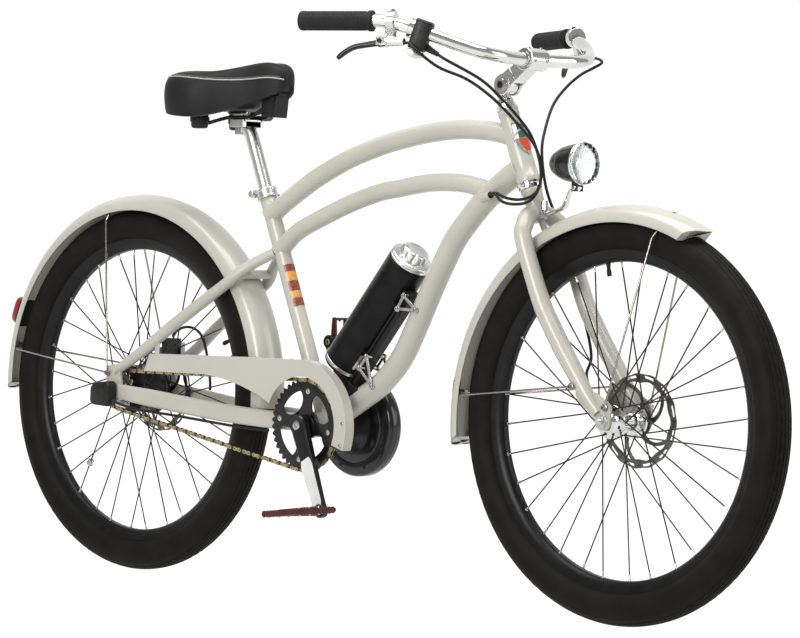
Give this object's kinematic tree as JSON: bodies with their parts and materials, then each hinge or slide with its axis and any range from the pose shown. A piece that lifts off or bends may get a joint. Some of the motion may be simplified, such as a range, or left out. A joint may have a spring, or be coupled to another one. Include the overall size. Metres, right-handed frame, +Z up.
{
  "type": "electric bicycle",
  "caption": "Low-frame cruiser bicycle with curved top tubes, drum motor at the crank, tube battery, swept bars, mudguards, chain guard, disc brakes and bullet headlight.",
  "frame": {"origin": "centre of the bicycle's bounding box, at the ground", "axes": "+Z up, +X towards the front wheel, +Y to the rider's left; the chain is on the -Y side"},
  "size_m": [1.909, 0.6292, 1.0148],
  "materials": {
    "paint_painted_metal": "satin",
    "chrome_chrome": "polished",
    "steel_brushed_steel": "brushed",
    "red_gloss_plastic": "gloss",
    "brass_brass": "satin",
    "black_matte_plastic": "satin",
    "black_metal_aluminium": "satin",
    "steel_aluminium": "brushed",
    "leather_leather": "grained",
    "black_metal_brushed_steel": "satin",
    "pedal_matte_plastic": "satin",
    "rubber_tyre": "matte",
    "black_gloss_plastic": "satin",
    "lens_glass": "clear",
    "rubber_rubber": "matte"
  },
  "bodies": {
    "chassis": {"frame": "paint_painted_metal", "headset_cup": "chrome_chrome", "rear_mudguard": "paint_painted_metal", "rear_guard_stays": "steel_brushed_steel", "tail_light": "red_gloss_plastic", "chain_guard": "paint_painted_metal", "chain": "brass_brass", "motor_housing": "black_matte_plastic", "battery_cradle": "black_matte_plastic", "seat_collar": "steel_aluminium", "rear_axle": "steel_brushed_steel", "shift_box": "black_matte_plastic", "rear_caliper": "black_metal_aluminium", "rear_hose_tail": "rubber_rubber", "shift_cable_tail": "rubber_rubber", "rear_brake_hose": "rubber_rubber", "shift_cable": "rubber_rubber"},
    "battery": {"battery_can": "black_metal_aluminium", "battery_cap": "steel_aluminium"},
    "seat_qr": {"seat_qr_lever": "black_metal_aluminium"},
    "seat": {"seatpost": "steel_aluminium", "saddle_cover": "leather_leather", "saddle_shell": "black_matte_plastic", "saddle_rails": "black_metal_brushed_steel"},
    "crank": {"crank_axle": "steel_brushed_steel", "crank_right": "black_metal_aluminium", "crank_left": "black_metal_aluminium", "chainring": "black_metal_aluminium"},
    "pedal_right_body": {"pedal_right": "pedal_matte_plastic"},
    "pedal_left_body": {"pedal_left": "pedal_matte_plastic"},
    "rear_wheel": {"rear_tyre": "rubber_tyre", "rear_rim": "black_metal_aluminium", "rear_hub": "black_metal_aluminium", "rear_rotor": "steel_brushed_steel"},
    "rear_sprocket": {"sprocket": "steel_brushed_steel"},
    "steering": {"fork": "paint_painted_metal", "stem_quill": "chrome_chrome", "lamp_bracket": "steel_brushed_steel", "front_mudguard": "paint_painted_metal", "front_guard_stay_low": "steel_brushed_steel", "front_guard_stay_top": "steel_brushed_steel", "front_axle": "steel_brushed_steel", "front_caliper": "black_metal_aluminium", "front_brake_hose": "rubber_rubber"},
    "headlight": {"headlight_shell": "black_gloss_plastic", "headlight_lens": "lens_glass"},
    "bars": {"stem_arm": "chrome_chrome", "handlebar": "chrome_chrome", "grip_right": "rubber_rubber", "grip_left": "rubber_rubber", "brake_body_right": "steel_aluminium", "brake_body_left": "steel_aluminium", "shifter_body": "black_matte_plastic"},
    "lever_right": {"brake_lever_right": "black_metal_aluminium"},
    "lever_left": {"brake_lever_left": "black_metal_aluminium"},
    "paddle": {"shift_paddle": "steel_aluminium"},
    "front_wheel": {"front_tyre": "rubber_tyre", "front_rim": "black_metal_aluminium", "front_hub": "steel_aluminium", "front_rotor": "steel_brushed_steel"}
  },
  "joints": [
    {"name": "steering_turn", "type": "hinge", "parent": "chassis", "child": "steering", "pos_m": [0.3837, 0, 0.7477], "axis": [-0.395, 0, 0.9187], "range_deg": [-50, 50], "deforming": ["rear_brake_hose", "shift_cable"]},
    {"name": "stem_angle", "type": "hinge", "parent": "steering", "child": "bars", "pos_m": [0.3352, 0, 0.9012], "axis": [0, 1, 0], "range_deg": [-20, 15], "deforming": ["rear_brake_hose", "shift_cable", "front_brake_hose"]},
    {"name": "headlight_tilt", "type": "hinge", "parent": "steering", "child": "headlight", "pos_m": [0.49829, 0, 0.7262], "axis": [0, 1, 0], "range_deg": [-12, 12]},
    {"name": "brake_lever_right_pull", "type": "hinge", "parent": "bars", "child": "lever_right", "pos_m": [0.27174, -0.24852, 0.96107], "axis": [0.4036, -0.8776, 0.2588], "range_deg": [0, 14], "stiffness_Nm_per_rad": 3},
    {"name": "brake_lever_left_pull", "type": "hinge", "parent": "bars", "child": "lever_left", "pos_m": [0.27174, 0.24852, 0.96107], "axis": [-0.4036, -0.8776, -0.2588], "range_deg": [0, 14], "stiffness_Nm_per_rad": 3},
    {"name": "shift_paddle_push", "type": "hinge", "parent": "bars", "child": "paddle", "pos_m": [0.32112, -0.20843, 0.94362], "axis": [-0.2527, -0.1716, -0.9522], "range_deg": [0, 25], "stiffness_Nm_per_rad": 0.6},
    {"name": "front_wheel_spin", "type": "hinge", "parent": "steering", "child": "front_wheel", "pos_m": [0.6145, 0, 0.34], "axis": [0, 1, 0], "continuous": true},
    {"name": "rear_wheel_spin", "type": "hinge", "parent": "chassis", "child": "rear_wheel", "pos_m": [-0.5819, 0, 0.34], "axis": [0, 1, 0], "continuous": true},
    {"name": "crank_spin", "type": "hinge", "parent": "chassis", "child": "crank", "pos_m": [-0.0864, 0, 0.2985], "axis": [0, 1, 0], "continuous": true},
    {"name": "sprocket_spin", "type": "hinge", "parent": "chassis", "child": "rear_sprocket", "pos_m": [-0.5819, 0, 0.34], "axis": [0, 1, 0], "continuous": true},
    {"name": "pedal_right_spin", "type": "hinge", "parent": "crank", "child": "pedal_right_body", "pos_m": [0.00116, -0.10023, 0.15278], "axis": [0, 1, 0], "continuous": true},
    {"name": "pedal_left_spin", "type": "hinge", "parent": "crank", "child": "pedal_left_body", "pos_m": [-0.17396, 0.10123, 0.44422], "axis": [0, 1, 0], "continuous": true},
    {"name": "seat_height", "type": "slide", "parent": "chassis", "child": "seat", "axis": [-0.3816, 0, 0.9243], "range_m": [-0.055, 0.08]},
    {"name": "seat_quick_release", "type": "hinge", "parent": "chassis", "child": "seat_qr", "pos_m": [-0.27747, 0.016, 0.7105], "axis": [0, 0, 1], "range_deg": [0, 165]},
    {"name": "battery_slide", "type": "slide", "parent": "chassis", "child": "battery", "axis": [0.6402, 0, 0.7682], "range_m": [0, 0.035]}
  ],
  "couplings": [
    {"joint": "sprocket_spin", "follows": "crank_spin", "ratio": 2.2222}
  ]
}
